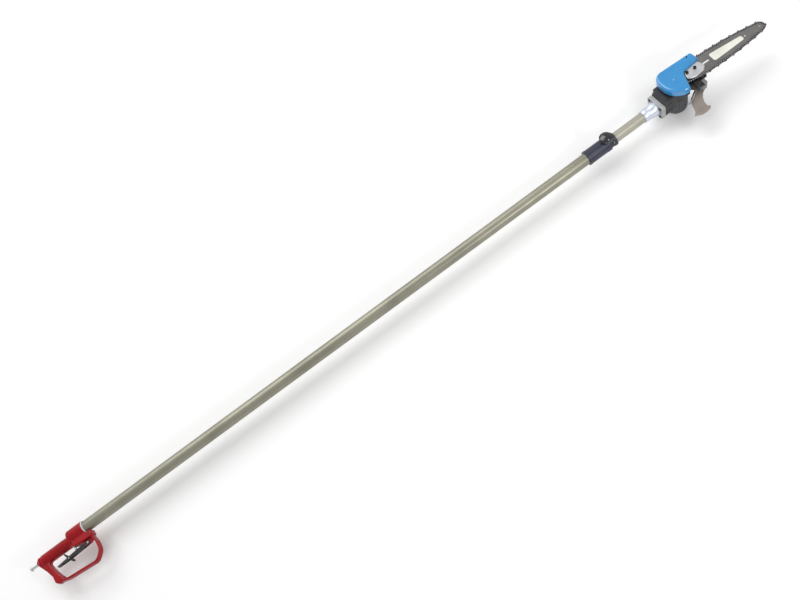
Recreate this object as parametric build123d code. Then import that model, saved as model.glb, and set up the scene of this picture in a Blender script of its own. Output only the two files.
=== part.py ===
from build123d import *
import math
import os

# Telescoping pneumatic pole saw. Millimetres, +X from the handle to the bar tip, +Y the side of the
# tool that faces up in use, +Z the tool's right side. The origin is the end of the air inlet nipple.

# ---- pole ----
POLE_RISE = 10.0          # pole axis above the grip and inlet axis
OUTER_TUBE_R = 17.0
OUTER_TUBE_WALL = 1.5
INNER_TUBE_R = 15.25
INNER_TUBE_WALL = 1.5
OUTER_TUBE_SHOWN = 1743.0  # socket front to clamp collar
INNER_TUBE_SHOWN = 99.0    # clamp front ring to ferrule, as stored
INNER_TUBE_INSIDE = 1500.0  # stored length behind the clamp front ring
FIT = 0.05                # radial clearance of seated round pieces and running shafts
GAP = 0.3                 # clearance between pieces that move past each other

# ---- handle ----
SOCKET_FRONT = 187.0
SOCKET_LENGTH = 52.0
SOCKET_R = 20.6
SEAT_DEPTH = 30.0         # how deep the outer tube sits in the socket
GRIP_R = 17.3
GRIP_WIDTH = 31.0
LEG_WIDTH = 17.0
GUARD_WIDTH = 16.0
GUARD_THICK = 6.5
NIPPLE_LENGTH = 25.0
NIPPLE_RING_R = 6.35
NIPPLE_RING_LENGTH = 4.0
NIPPLE_STEM_R = 4.0
NIPPLE_THREAD_R = 6.0
NIPPLE_THREAD_LENGTH = 14.0
AIR_BORE_R = 3.5
VALVE_X = 142.0
VALVE_R = 8.0
VALVE_BASE = -17.5        # lower face of the valve cartridge
VALVE_TOP = -2.0          # seat face of the valve cartridge
VALVE_ROOF = 10.0         # top of the valve chamber
STEM_R = 3.0
POPPET_R = 6.0
POPPET_THICK = 3.0
SPRING_WIRE = 1.1
TRIGGER_PIVOT = (183.0, -37.0)
TRIGGER_WIDTH = 10.0
TRIGGER_EYE_R = 5.5
TRIGGER_TIP = 76.0
TRIGGER_PIN_R = 2.5
TRIGGER_SLOT = 5.0
LUG_THICK = 4.4           # lug that the lever straddles at its hinge
SADDLE_WIDTH = 22.0
LATCH_PIVOT = (116.0, -41.5)
LATCH_THICK = 4.4
LATCH_UPPER = 22.0
LATCH_UPPER_LEAN = 121.0  # degrees from +X
LATCH_LOWER = 17.0
LATCH_LOWER_LEAN = -54.0
LATCH_PIN_R = 1.6
LATCH_SWING = 26.0        # half length of the lever's window round the latch pivot
SET_SCREW_R = 2.5

# ---- clamp ----
CLAMP_SLEEVE = 74.0       # sleeve over the outer tube's end and the guide bush
CLAMP_RING = 22.0         # notched ring in front of the sleeve
CLAMP_RIM = 7.0           # uncut rim at the ring's front end
CLAMP_R = 22.0
CLAMP_RING_R = 19.8
CLAMP_TUBE_SEAT = 55.0    # how deep the outer tube sits in the collar
BUSH_LENGTH = 30.0
BUSH_WALL = 2.0
BOSS_R = 12.0
BOSS_TOP = 28.0           # top of the screw boss above the pole axis
CLAMP_BOLT_R = 3.0
CLAMP_NUT_HALF = 5.0      # half the width across the flats
CLAMP_NUT_THICK = 5.0
KNOB_R = 18.5
KNOB_RIM = 4.0
KNOB_THICK = 10.5
KNOB_FLUTES = 12

# ---- head ----
FERRULE_LENGTH = 43.0
FERRULE_R = 18.0
FERRULE_FLARE_R = 21.5
FERRULE_SEAT = 37.0
FLANGE_BACK = 73.5        # flange rear face behind the motor axis
FLANGE_THICK = 12.0
FLANGE_HALF_Y = 31.0
FLANGE_HALF_Z = 24.0
FLANGE_SCREW_Y = 23.0
FLANGE_SCREW_Z = 16.0
FLANGE_SCREW_R = 2.5
GASKET = 1.0
NECK_HALF_Y = 27.0
SHOULDER_Y = 35.0         # upper side of the neck's raised shoulder
SHOULDER_LOW = 5.0
NECK_BOTTOM = -22.0
CASE_R = 30.0
CASE_RIBS = 26
RIB_HEIGHT = 1.8
CASE_WALL = 5.0
CASE_SPLIT = -5.0         # joint between ribbed case and housing
CASE_BOTTOM = -50.0
CAP_THICK = 6.0
DECK = 39.0               # rim of the side cover
DECK_THICK = 6.0
SHAFT_R = 4.0
BEARING_R = 9.5
BEARING_THICK = 6.0
ROTOR_R = 16.4
LINER_BORE_R = 19.0
LINER_OFFSET = 2.4
VANES = 5
VANE_THICK = 1.5
VANE_DEPTH = 8.0
PLATE_THICK = 4.0
FRONT_PLATE_TOP = 19.0

# ---- cutting gear ----
BAR_DROOP = 3.4           # degrees the bar leans below the pole line
BAR_RISE = 1.7            # bar centre line above the motor axis
BAR_LEVEL = 48.0          # mid-plane of the bar
BAR_THICK = 3.2
BAR_TAIL_X = 53.5
BAR_REACH = 272.0         # nominal nose centre ahead of the motor axis
BAR_TAIL_R = 26.5
BAR_EDGE_R = 1000.0       # bow of the bar's long edges
BAR_NOSE_R = 11.0
GROOVE = 1.6
GROOVE_DEPTH = 5.5
RIVET_STEP = 6.35
SPROCKET_TEETH = 9
NOSE_TEETH = 7
LINK_THICK = 1.3
STRAP_THICK = 1.1
STRAP_R = 2.45
RIVET_R = 1.3
TANG = 6.4
CUTTER_RISE = 5.2
RAIL_GAP = 0.3
CLAMP_PLATE_THICK = 4.0
BAR_SCREWS = (36.5, 61.5)
BAR_SCREW_R = 3.0
PANEL = (116.5, 14.5, 217.0, 7.8)  # rear end, half height there, front end, half height
BAR_SLOT = (90.5, 105.5, 2.9)
BAR_HOLE = (224.3, 2.6)
CHAIN_PHASE = 2.0
COVER_HEIGHT = 23.0
COVER_WALL = 2.5
COVER_LEFT = -42.0        # rear edge of the cover, from the motor axis
COVER_TOP = 51.0
COVER_R = 54.0            # round lower rear edge
COVER_CORNER_R = 28.0
COVER_POSTS = [(-14.0, 42.0), (-1.5, -43.0)]
TONGUE_SCREW = (67.5, 37.1)
COVER_SCREW_R = 1.5

# ---- hook and lever ----
HOOK_TOP = 20.0
HOOK_THICK = 4.0
BRACKET_TOP = 40.0
BRACKET_SCREW_TOP = 37.5
BRACKET_SPOTS = [(44.5, -43.4), (55.5, -45.0)]
CATCHER_TOP = 45.0
CATCHER_SPOTS = [(34.0, -44.0), (44.5, -37.0)]
LEVER_PIVOT = (31.5, -41.4)
LEVER_LEVEL = 24.5
LEVER_REACH = 55.0
LEVER_LEAN = 211.0        # degrees from +X to the lever's free end
LEVER_R = 1.8
LEVER_HUB_R = 4.5
LEVER_SCREW_R = 2.0

# ---- derived stations along the pole ----
CLAMP_X = SOCKET_FRONT + OUTER_TUBE_SHOWN
RING_X = CLAMP_X + CLAMP_SLEEVE
CLAMP_FRONT = RING_X + CLAMP_RING
FERRULE_X = CLAMP_FRONT + INNER_TUBE_SHOWN
FLANGE_X = FERRULE_X + FERRULE_LENGTH
HEAD_X = FLANGE_X + FLANGE_BACK
OUTER_BORE_R = OUTER_TUBE_R - OUTER_TUBE_WALL
TUBE_END = CLAMP_X + CLAMP_TUBE_SEAT
BUSH_END = TUBE_END + BUSH_LENGTH
BUSH_R = INNER_TUBE_R + BUSH_WALL
CLAMP_BOLT_X = (TUBE_END + BUSH_END) / 2
PITCH = 2 * RIVET_STEP
SPROCKET_R = SPROCKET_TEETH * PITCH / (2 * math.pi)
NOSE_R = NOSE_TEETH * PITCH / (2 * math.pi)
TAIL_PATH_R = BAR_TAIL_R + STRAP_R + RAIL_GAP

POLE = Pos(0, POLE_RISE, 0)
HEAD = Pos(HEAD_X, POLE_RISE, 0)
BAR = HEAD * Rot(0, 0, -BAR_DROOP) * Pos(0, BAR_RISE, BAR_LEVEL)

os.makedirs("parts", exist_ok=True)


def save(name, shape, frame=Pos(0, 0, 0)):
    """Writes one sub-part, given in the frame's own coordinates."""
    placed = frame * shape
    export_step(Compound(children=placed.solids()), f"parts/{name}.step")


def post(radius, low, high, x=0.0, y=0.0):
    """Cylinder along Z from low to high."""
    base = (Align.CENTER, Align.CENTER, Align.MIN)
    return Pos(x, y, low) * Cylinder(radius, high - low, align=base)


def bar_x(radius, low, high, y=0.0, z=0.0):
    """Cylinder along X from low to high."""
    base = (Align.CENTER, Align.CENTER, Align.MIN)
    return Pos(low, y, z) * Rot(0, 90, 0) * Cylinder(radius, high - low, align=base)


def bar_y(radius, low, high, x=0.0, z=0.0):
    """Cylinder along Y from low to high."""
    base = (Align.CENTER, Align.CENTER, Align.MIN)
    return Pos(x, low, z) * Rot(-90, 0, 0) * Cylinder(radius, high - low, align=base)


def block(x, y, z):
    """Box between pairs of limits."""
    size = Box(x[1] - x[0], y[1] - y[0], z[1] - z[0])
    return Pos((x[0] + x[1]) / 2, (y[0] + y[1]) / 2, (z[0] + z[1]) / 2) * size


def slab(outline, low, high):
    """Flat face in XY raised into a plate between two levels."""
    return Pos(0, 0, low) * extrude(outline, high - low)


def outline_of(points, radii=0.0):
    """Closed face through points, with rounded corners."""
    face = make_face(Polyline(*points, close=True))
    if radii:
        face = fillet(face.vertices(), radii)
    return face


def stadium(x0, x1, radius, y=0.0):
    """Slot-shaped face between two end centres."""
    return Pos((x0 + x1) / 2, y) * SlotCenterToCenter(x1 - x0, 2 * radius)


def bow(x0, r0, x1, r1, edge_r):
    """Centre below the X axis and end angles of a large arc that touches two circles from above."""
    near, far = edge_r - r0, edge_r - r1
    cx = (x0 + x1) / 2 + (near ** 2 - far ** 2) / (2 * (x1 - x0))
    drop = math.sqrt(near ** 2 - (cx - x0) ** 2)
    return cx, drop, math.atan2(drop, x0 - cx), math.atan2(drop, x1 - cx)


def blade(x0, r0, x1, r1, edge_r):
    """Face round two circles on the X axis with bowed edges between them."""
    cx, drop, start, end = bow(x0, r0, x1, r1, edge_r)

    def edge(angle):
        return cx + edge_r * math.cos(angle), edge_r * math.sin(angle) - drop

    a, mid, b = edge(start), edge((start + end) / 2), edge(end)
    return make_face([
        ThreePointArc(a, mid, b),
        ThreePointArc(b, (x1 + r1, 0), (b[0], -b[1])),
        ThreePointArc((b[0], -b[1]), (mid[0], -mid[1]), (a[0], -a[1])),
        ThreePointArc((a[0], -a[1]), (x0 - r0, 0), a),
    ])


def drilled(shape, cutters):
    for cutter in cutters:
        shape = shape - cutter
    return shape


# ================= handle =================


def guard_face():
    """Side view of the strap that guards the fingers."""
    path = FilletPolyline(
        (197, -14), (208.5, -50), (210.5, -78), (190, -101), (98, -92.5), (74, -86), (66, -60),
        radius=(40, 26, 18, 60, 14),
    )
    return trace(path, GUARD_THICK)


def rear_leg_face():
    """Side view of the thick leg that joins the grip to the guard."""
    points = [
        (27, 9), (23, 1), (27, -8), (45, -38), (56, -62), (58, -82), (66, -90),
        (82, -90), (87, -82), (80, -70), (72, -55), (65, -38), (60, -21), (66, -14), (66, 9),
    ]
    return outline_of(points, 2.5)


def handle_body():
    half = GRIP_WIDTH / 2
    grip = bar_x(GRIP_R, 44, SOCKET_FRONT - SOCKET_LENGTH + 8, y=-1)
    tail = extrude(rear_leg_face(), LEG_WIDTH / 2, both=True)
    tail = fillet(tail.faces().sort_by(Axis.Z)[-1].edges() + tail.faces().sort_by(Axis.Z)[0].edges(), 2)
    cheek = fillet(block((30, 64), (-12, 12), (-half + 1, half - 1)).edges(), 7)
    socket = bar_x(SOCKET_R, SOCKET_FRONT - SOCKET_LENGTH, SOCKET_FRONT, y=POLE_RISE)
    socket = chamfer(socket.faces().sort_by(Axis.X)[0].edges(), 3)
    saddle = outline_of([(132, -8), (206, -10), (207, -26), (199, -29), (150, -26), (132, -17)], 2)
    saddle = extrude(saddle, SADDLE_WIDTH / 2, both=True)
    lug = outline_of([(170, -20), (207, -20), (207, -30), (200, -40), (192, -44.5), (175,
                                                                                     -44.5), (169, -36)], 2)
    lug = extrude(lug, LUG_THICK / 2, both=True)
    guard = extrude(guard_face(), GUARD_WIDTH / 2, both=True)
    body = grip + tail + cheek + socket + saddle + lug + guard
    px, py = TRIGGER_PIVOT
    seat_x = SOCKET_FRONT - SEAT_DEPTH
    valve_bore = bar_y(VALVE_R + FIT, -30, VALVE_ROOF, x=VALVE_X)
    return drilled(body, [
        bar_x(OUTER_TUBE_R + FIT, seat_x, 230, y=POLE_RISE),
        bar_x(AIR_BORE_R, 30, VALVE_X, y=0),
        bar_x(AIR_BORE_R, VALVE_X, seat_x + 1, y=5),
        bar_x(NIPPLE_THREAD_R + FIT, 0, NIPPLE_LENGTH + NIPPLE_THREAD_LENGTH),
        valve_bore,
        Pos(px, py, 0) * Cylinder(TRIGGER_PIN_R + FIT, 60),
        bar_y(SET_SCREW_R + FIT, POLE_RISE, 60, x=SOCKET_FRONT - SEAT_DEPTH / 2),
    ])


def inlet_nipple():
    end = NIPPLE_LENGTH
    nipple = bar_x(NIPPLE_RING_R, 0, NIPPLE_RING_LENGTH) + bar_x(NIPPLE_STEM_R, 0, end)
    nipple += bar_x(NIPPLE_THREAD_R, end - 1, end + NIPPLE_THREAD_LENGTH - 1)
    return nipple - bar_x(NIPPLE_STEM_R - 1.5, -1, end + NIPPLE_THREAD_LENGTH)


def tube(radius, wall, low, high):
    return bar_x(radius, low, high) - bar_x(radius - wall, low - 1, high + 1)


def valve_cartridge():
    body = bar_y(VALVE_R, VALVE_BASE, VALVE_TOP, x=VALVE_X)
    nose = bar_y(STEM_R + 2, VALVE_BASE - 3, VALVE_BASE, x=VALVE_X)
    return body + nose - bar_y(STEM_R + FIT, -40, 20, x=VALVE_X)


def trigger_top(x):
    """Height of the lever's upper edge at a station along the handle."""
    px, py = TRIGGER_PIVOT
    return py + TRIGGER_EYE_R - 0.085 * (px - x)


def valve_stem():
    low = trigger_top(VALVE_X) + GAP
    stem = bar_y(STEM_R, low + STEM_R, VALVE_TOP + 1, x=VALVE_X)
    stem += Pos(VALVE_X, low + STEM_R, 0) * Sphere(STEM_R)
    poppet_low = VALVE_TOP + 1
    return stem + bar_y(POPPET_R, poppet_low, poppet_low + POPPET_THICK, x=VALVE_X)


def valve_seal():
    ring = bar_y(POPPET_R, VALVE_TOP, VALVE_TOP + 1, x=VALVE_X)
    return ring - bar_y(STEM_R + FIT, VALVE_TOP - 1, VALVE_TOP + 2, x=VALVE_X)


def valve_spring():
    low = VALVE_TOP + 1 + POPPET_THICK + SPRING_WIRE / 2
    high = VALVE_ROOF - SPRING_WIRE / 2
    turns = 3
    helix = Helix(pitch=(high - low) / turns, height=high - low, radius=POPPET_R - 1.5)
    profile = Plane(origin=helix @ 0, z_dir=helix % 0) * Circle(SPRING_WIRE / 2)
    coil = sweep(profile, path=helix)
    return Pos(VALVE_X, low, 0) * Rot(-90, 0, 0) * coil


def trigger_lever():
    px, py = TRIGGER_PIVOT
    tip = TRIGGER_TIP
    edge = [(px, py + TRIGGER_EYE_R), (130, trigger_top(130)), (tip + 3, py - 5.5), (tip, py - 7),
            (tip + 3, py - 8.8), (LATCH_PIVOT[0] - 8, py - 9.5), (px - 25, py - 7), (px, py - TRIGGER_EYE_R)]
    blade = make_face(Polyline(*edge, close=True)) + Pos(px, py) * Circle(TRIGGER_EYE_R)
    lever = extrude(blade, TRIGGER_WIDTH / 2, both=True)
    half = TRIGGER_SLOT / 2
    window = block((LATCH_PIVOT[0] - LATCH_SWING, LATCH_PIVOT[0] + LATCH_SWING), (-70, -20), (-half, half))
    half = LUG_THICK / 2 + GAP
    fork = block((px - 19, px + 10), (-70, -20), (-half, half))
    return drilled(lever, [
        window,
        fork,
        Pos(px, py, 0) * Cylinder(TRIGGER_PIN_R + FIT, 60),
        Pos(*LATCH_PIVOT, 0) * Cylinder(LATCH_PIN_R + FIT, 60),
    ])


def trigger_pin():
    return Pos(*TRIGGER_PIVOT, 0) * Cylinder(TRIGGER_PIN_R, TRIGGER_WIDTH)


def latch_pin():
    return Pos(*LATCH_PIVOT, 0) * Cylinder(LATCH_PIN_R, TRIGGER_WIDTH)


def lockoff_latch():
    """Flip piece that props the lever off the grip until a finger folds it."""
    up, down = math.radians(LATCH_UPPER_LEAN), math.radians(LATCH_LOWER_LEAN)
    tip = (LATCH_UPPER * math.cos(up), LATCH_UPPER * math.sin(up))
    toe = (LATCH_LOWER * math.cos(down), LATCH_LOWER * math.sin(down))
    flat = make_hull(Circle(4).edges() + (Pos(*tip) * Circle(1.6)).edges())
    flat += make_hull(Circle(4).edges() + (Pos(*toe) * Circle(3)).edges())
    plate = extrude(flat, LATCH_THICK / 2, both=True)
    return Pos(*LATCH_PIVOT, 0) * (plate - Cylinder(LATCH_PIN_R + FIT, 60))


# ================= clamp =================


def clamp_collar():
    """Sleeve with a screw boss and a ring notched on its lower side, moulded in one piece."""
    body = bar_x(CLAMP_R - 0.6, CLAMP_X, RING_X) + bar_x(CLAMP_R, CLAMP_X, CLAMP_X + 6)
    body += bar_x(CLAMP_R, RING_X - 12, RING_X) + bar_x(CLAMP_RING_R, RING_X, CLAMP_FRONT)
    body += post(BOSS_R, 0, BOSS_TOP, CLAMP_BOLT_X)
    return drilled(body, [
        bar_x(OUTER_TUBE_R + FIT, CLAMP_X - 1, TUBE_END),
        bar_x(BUSH_R + FIT, TUBE_END - FIT, BUSH_END),
        bar_x(INNER_TUBE_R + GAP, TUBE_END, CLAMP_FRONT + 1),
        block((RING_X, CLAMP_FRONT - CLAMP_RIM), (-CLAMP_R, -INNER_TUBE_R + 3), (-CLAMP_R, CLAMP_R)),
        post(CLAMP_BOLT_R + FIT, 0, BOSS_TOP + 1, CLAMP_BOLT_X),
        Pos(CLAMP_BOLT_X, 0, nut_level()) * nut_blank(CLAMP_NUT_HALF + FIT, CLAMP_NUT_THICK),
        post(CLAMP_NUT_HALF - 0.5, nut_level(), BOSS_TOP + 1, CLAMP_BOLT_X),
    ])


def nut_level():
    """Middle of the threaded insert in the boss."""
    return BOSS_TOP - CLAMP_NUT_THICK / 2 - 1


def nut_blank(half_width, thick):
    """Hexagonal prism centred on a face, for a nut or its pocket."""
    return extrude(RegularPolygon(half_width, 6, major_radius=False), thick / 2, both=True)


def guide_bush():
    return bar_x(BUSH_R, TUBE_END, BUSH_END) - bar_x(INNER_TUBE_R + FIT, TUBE_END - 1, BUSH_END + 1)


def clamp_bolt():
    return post(CLAMP_BOLT_R, BUSH_R + GAP, BOSS_TOP + GAP + KNOB_RIM, CLAMP_BOLT_X)


def clamp_knob():
    """Domed knob moulded on the head of the clamp screw."""
    low = BOSS_TOP + GAP
    rise = KNOB_THICK - KNOB_RIM
    dome_r = (KNOB_R ** 2 + rise ** 2) / (2 * rise)
    dome = Pos(0, 0, low + KNOB_THICK - dome_r) * Sphere(dome_r)
    knob = post(KNOB_R, low, low + KNOB_THICK) & dome
    for spot in PolarLocations(KNOB_R + 2.2, KNOB_FLUTES):
        knob -= Pos(0, 0, low + KNOB_THICK / 2) * (spot * Cylinder(3, 2 * KNOB_THICK))
    return Pos(CLAMP_BOLT_X, 0, 0) * (knob - post(CLAMP_BOLT_R, 0, low + KNOB_RIM))


def clamp_nut():
    nut = nut_blank(CLAMP_NUT_HALF, CLAMP_NUT_THICK) - Cylinder(CLAMP_BOLT_R + FIT, 30)
    return Pos(CLAMP_BOLT_X, 0, nut_level()) * nut


# ================= sliding inner pole =================


def piston_head():
    """Plug in the inner tube's tail, grooved for its seals, with a bore for the air."""
    tail = CLAMP_FRONT - INNER_TUBE_INSIDE
    plug = bar_x(OUTER_BORE_R - FIT, tail - 20, tail) + bar_x(inner_bore() - FIT, tail, tail + 25)
    for x in (tail - 15, tail - 7):
        plug -= tube(OUTER_TUBE_R, OUTER_TUBE_R - OUTER_BORE_R + 2.2, x - 1.4, x + 1.4)
    return plug - bar_x(6, tail - 30, tail + 30)


def piston_seals():
    tail = CLAMP_FRONT - INNER_TUBE_INSIDE
    low = OUTER_BORE_R - 2.1
    rings = [bar_x(OUTER_BORE_R - FIT, x - 1.2, x + 1.2) - bar_x(low, x - 2,
                                                                 x + 2) for x in (tail - 15, tail - 7)]
    return Compound(children=[ring.solid() for ring in rings])


def inner_bore():
    return INNER_TUBE_R - INNER_TUBE_WALL


# ================= head =================


def ferrule():
    """Turned sleeve that takes the inner tube, in head coordinates."""
    low = -FLANGE_BACK - FERRULE_LENGTH
    high = -FLANGE_BACK
    profile = [(low, 0), (low, FERRULE_R - 1), (low + 1, FERRULE_R), (low + 14, FERRULE_R),
               (low + 34, FERRULE_FLARE_R), (high, FERRULE_FLARE_R), (high, 0)]
    body = revolve(make_face(Polyline(*profile, close=True)), Axis.X)
    body -= bar_x(INNER_TUBE_R + FIT, low - 1, low + FERRULE_SEAT)
    body -= bar_x(10, low, high + 1)
    return body - bar_y(2 + FIT, -40, 40, x=low + FERRULE_SEAT / 2)


def ferrule_pin():
    return bar_y(2, -FERRULE_R, FERRULE_R, x=-FLANGE_BACK - FERRULE_LENGTH + FERRULE_SEAT / 2)


def inner_tube():
    low, high = CLAMP_FRONT - INNER_TUBE_INSIDE, FERRULE_X + FERRULE_SEAT
    body = tube(INNER_TUBE_R, INNER_TUBE_WALL, low, high)
    return body - bar_y(2 + FIT, -40, 40, x=FERRULE_X + FERRULE_SEAT / 2)


def flange_corners():
    return [(y, z) for y in (-FLANGE_SCREW_Y, FLANGE_SCREW_Y) for z in (-FLANGE_SCREW_Z, FLANGE_SCREW_Z)]


def flange_plate():
    low, high = -FLANGE_BACK, -FLANGE_BACK + FLANGE_THICK
    plate = block((low, high), (-FLANGE_HALF_Y, FLANGE_HALF_Y), (-FLANGE_HALF_Z, FLANGE_HALF_Z))
    plate = fillet(plate.edges().filter_by(Axis.X), 9)
    plate = fillet(plate.faces().sort_by(Axis.X)[0].edges(), 1.5)
    holes = [bar_x(FLANGE_SCREW_R + FIT, low - 1, high + 1, y, z) for y, z in flange_corners()]
    return drilled(plate, holes + [bar_x(10, low - 1, high + 1)])


def flange_gasket():
    low = -FLANGE_BACK + FLANGE_THICK
    half = NECK_HALF_Y - 1
    sheet = block((low, low + GASKET), (-half, half), (NECK_BOTTOM + 1, FLANGE_HALF_Z - 1))
    holes = [bar_x(FLANGE_SCREW_R + FIT, low - 1, low + 2, y, z) for y, z in flange_corners()]
    return drilled(sheet, holes + [bar_x(10, low - 1, low + 2)])


def flange_screws():
    low = -FLANGE_BACK
    screws = []
    for y, z in flange_corners():
        head = bar_x(4.2, low - 1.6, low, y, z) - bar_x(1.8, low - 2, low - 0.6, y, z)
        screws.append((head + bar_x(FLANGE_SCREW_R, low - 1, low + 24, y, z)).solid())
    return Compound(children=screws)


def cover_face(inset=0.0):
    """Outline of the side cover seen along +Z: a round over the sprocket with a tongue ahead."""
    cx, cy = COVER_LEFT + COVER_R, 4.5
    toe = (9.0, cy - math.sqrt(COVER_R ** 2 - (9.0 - cx) ** 2))
    slant = COVER_R * math.sqrt(0.5)
    edge = [
        ThreePointArc((COVER_LEFT, cy), (cx - slant, cy - slant), toe),
        Polyline(toe, (29.5, 5.6), (87.5, 12.6), (85, COVER_TOP - 7), (COVER_LEFT, COVER_TOP),
                 (COVER_LEFT, cy)),
    ]
    face = make_face(edge)
    face = fillet(face.vertices().sort_by(Axis.Y)[0], 6)
    face = fillet(face.vertices().filter_by(lambda v: v.X > 80), 7)
    face = fillet(face.vertices().filter_by(lambda v: 26 < v.X < 33 and 0 < v.Y < 10), 9)
    face = fillet(face.vertices().filter_by(lambda v: v.X < COVER_LEFT + 1 and v.Y > 40), COVER_CORNER_R)
    if inset:
        face = offset(face, -inset)
    return face


def side_cover():
    top = DECK + COVER_HEIGHT
    shell = slab(cover_face(), DECK, top)
    shell = fillet(shell.faces().sort_by(Axis.Z)[-1].edges(), 6)
    hollow = slab(cover_face(COVER_WALL), DECK - 1, top - COVER_WALL)
    hollow = fillet(hollow.faces().sort_by(Axis.Z)[-1].edges(), 3.5)
    shell -= hollow
    mouth_top = BAR_LEVEL + BAR_THICK / 2 + CLAMP_PLATE_THICK + GAP
    mouth = block((12, 110), (-70, 36), (DECK - 1, mouth_top))
    shell -= mouth
    dome = Pos(-3, 2, top - 9.5) * Sphere(11)
    dome &= block((-15, 9), (-10, 14), (top - 0.1, top + 4))
    shell += dome
    for x, y in COVER_POSTS:
        peg = post(3.5, DECK, top - COVER_WALL + 0.5, x, y)
        shell += peg - post(COVER_SCREW_R + FIT, DECK - 1, DECK + 12, x, y)
    x, y = TONGUE_SCREW
    shell += post(3.5, DECK, top - COVER_WALL + 0.5, x, y)
    return shell - post(1.5 + FIT, DECK - 1, top + 1, x, y) - post(2.6, top - 2.2, top + 1, x, y)


def cover_screws():
    low = DECK - DECK_THICK
    screws = [post(3, low - 2, low, x, y) + post(1.5, low - 1, DECK + 10, x, y) for x, y in COVER_POSTS]
    x, y = TONGUE_SCREW
    top = DECK + COVER_HEIGHT
    screws.append(post(2.5, top - 2.2, top - 0.2, x, y) + post(1.5, DECK + 2 - DECK_THICK, top - 2, x, y))
    return Compound(children=[screw.solid() for screw in screws])


def in_bar(shape):
    """Turns bar coordinates into head coordinates, keeping the level."""
    return Rot(0, 0, -BAR_DROOP) * Pos(0, BAR_RISE, 0) * shape


def bar_pad():
    top = BAR_LEVEL - BAR_THICK / 2
    return slab(stadium(BAR_TAIL_X - 12, BAR_TAIL_X + 18, 13), DECK - DECK_THICK, top)


def head_housing():
    """Casting that carries the motor, the bar and the cover, in head coordinates."""
    under = DECK - DECK_THICK
    deck = slab(cover_face(1.0), under, DECK)
    barrel = post(CASE_R, CASE_SPLIT, under)
    face_x = -FLANGE_BACK + FLANGE_THICK + GASKET
    neck = block((face_x, -18), (-NECK_HALF_Y, NECK_HALF_Y), (NECK_BOTTOM, under))
    neck = fillet(neck.edges().filter_by(Axis.X), 5)
    shoulder = block((face_x + 10, -18), (0, SHOULDER_Y), (SHOULDER_LOW, under))
    shoulder = fillet(shoulder.edges().filter_by(Axis.X), 3)
    pads = [bar_x(6.5, face_x, face_x + 26, y, z) for y, z in flange_corners()]
    arm = outline_of([(15.5, 7.6), (15.5, -38.4), (26.5, -50.4), (50.5, -50.4), (50.5, -35.4),
                      (75.5, -35.4), (79.5, 1.6)], 3)
    body = deck + barrel + neck + shoulder + slab(arm, under, DECK) + in_bar(bar_pad())
    for pad in pads:
        body += pad
    body -= post(CASE_R + RIB_HEIGHT + GAP, -60, CASE_SPLIT)
    body -= post(liner_r() + FIT, -60, FRONT_PLATE_TOP)
    body -= post(BEARING_R + FIT, 0, FRONT_PLATE_TOP + BEARING_THICK)
    body -= post(SHAFT_R + 2.5, 0, 60)
    body -= bar_x(7, -70, -20)
    for y, z in flange_corners():
        body -= bar_x(FLANGE_SCREW_R + FIT, -80, face_x + 14, y, z)
    for x, y in COVER_POSTS:
        body -= post(1.5 + FIT, 0, 60, x, y)
        body -= post(3 + FIT, 10, under, x, y)
    body -= post(1.5 + FIT, under - 1, 60, *TONGUE_SCREW)
    for x in BAR_SCREWS:
        body -= in_bar(post(BAR_SCREW_R + FIT, BAR_LEVEL - 16, 60, x))
    body -= post(2.5 + FIT, under - 1, BRACKET_SCREW_TOP, *BRACKET_SPOTS[0])
    body -= post(LEVER_SCREW_R + FIT, under - 1, DECK - 1, *LEVER_PIVOT)
    for x, y in CATCHER_SPOTS:
        body -= post(1.5 + FIT, DECK - 5, DECK + 1, x, y)
    return body


def liner_r():
    return CASE_R - CASE_WALL


def cap_screw_spots():
    return [spot.position for spot in PolarLocations(CASE_R - 2.2, 4, start_angle=45)]


def motor_case():
    """Ribbed barrel round the lower half of the motor."""
    case = post(CASE_R, CASE_BOTTOM, CASE_SPLIT)
    for spot in PolarLocations(CASE_R, CASE_RIBS):
        rib = Box(2 * RIB_HEIGHT, 2.6, CASE_SPLIT - CASE_BOTTOM - 5)
        case += Pos(0, 0, (CASE_BOTTOM + CASE_SPLIT) / 2) * (spot * rib)
    case -= post(liner_r() + FIT, CASE_BOTTOM - 1, CASE_SPLIT + 1)
    for spot in cap_screw_spots():
        case -= post(1.25 + FIT, CASE_BOTTOM - 1, CASE_BOTTOM + 12, spot.X, spot.Y)
    return case


def end_cap():
    low = CASE_BOTTOM - CAP_THICK
    cap = post(CASE_R, low, CASE_BOTTOM)
    cap = fillet(cap.faces().sort_by(Axis.Z)[0].edges(), 2)
    cap -= post(SHAFT_R + 1, CASE_BOTTOM - 2, CASE_BOTTOM + 1)
    for spot in cap_screw_spots():
        cap -= post(1.25 + FIT, low - 1, CASE_BOTTOM + 1, spot.X, spot.Y)
        cap -= post(2.4, low - 1, low + 2.5, spot.X, spot.Y)
    return cap


def end_cap_screws():
    low = CASE_BOTTOM - CAP_THICK
    screws = []
    for spot in cap_screw_spots():
        screw = post(2.3, low + 0.3, low + 2.5, spot.X, spot.Y)
        screw += post(1.25, low + 2, CASE_BOTTOM + 10, spot.X, spot.Y)
        screws.append(screw.solid())
    return Compound(children=screws)


def rear_plate_top():
    return CASE_BOTTOM + BEARING_THICK + PLATE_THICK


def front_plate_low():
    return FRONT_PLATE_TOP - PLATE_THICK


def motor_liner():
    """Steel cylinder whose bore is offset from the shaft."""
    ring = post(liner_r(), rear_plate_top(), front_plate_low())
    ring -= post(LINER_BORE_R, -60, 60, 0, LINER_OFFSET)
    return ring - bar_x(5, -40, 0)


def front_end_plate():
    return post(liner_r(), front_plate_low(), FRONT_PLATE_TOP) - post(SHAFT_R + 0.5, -60, 60)


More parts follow.
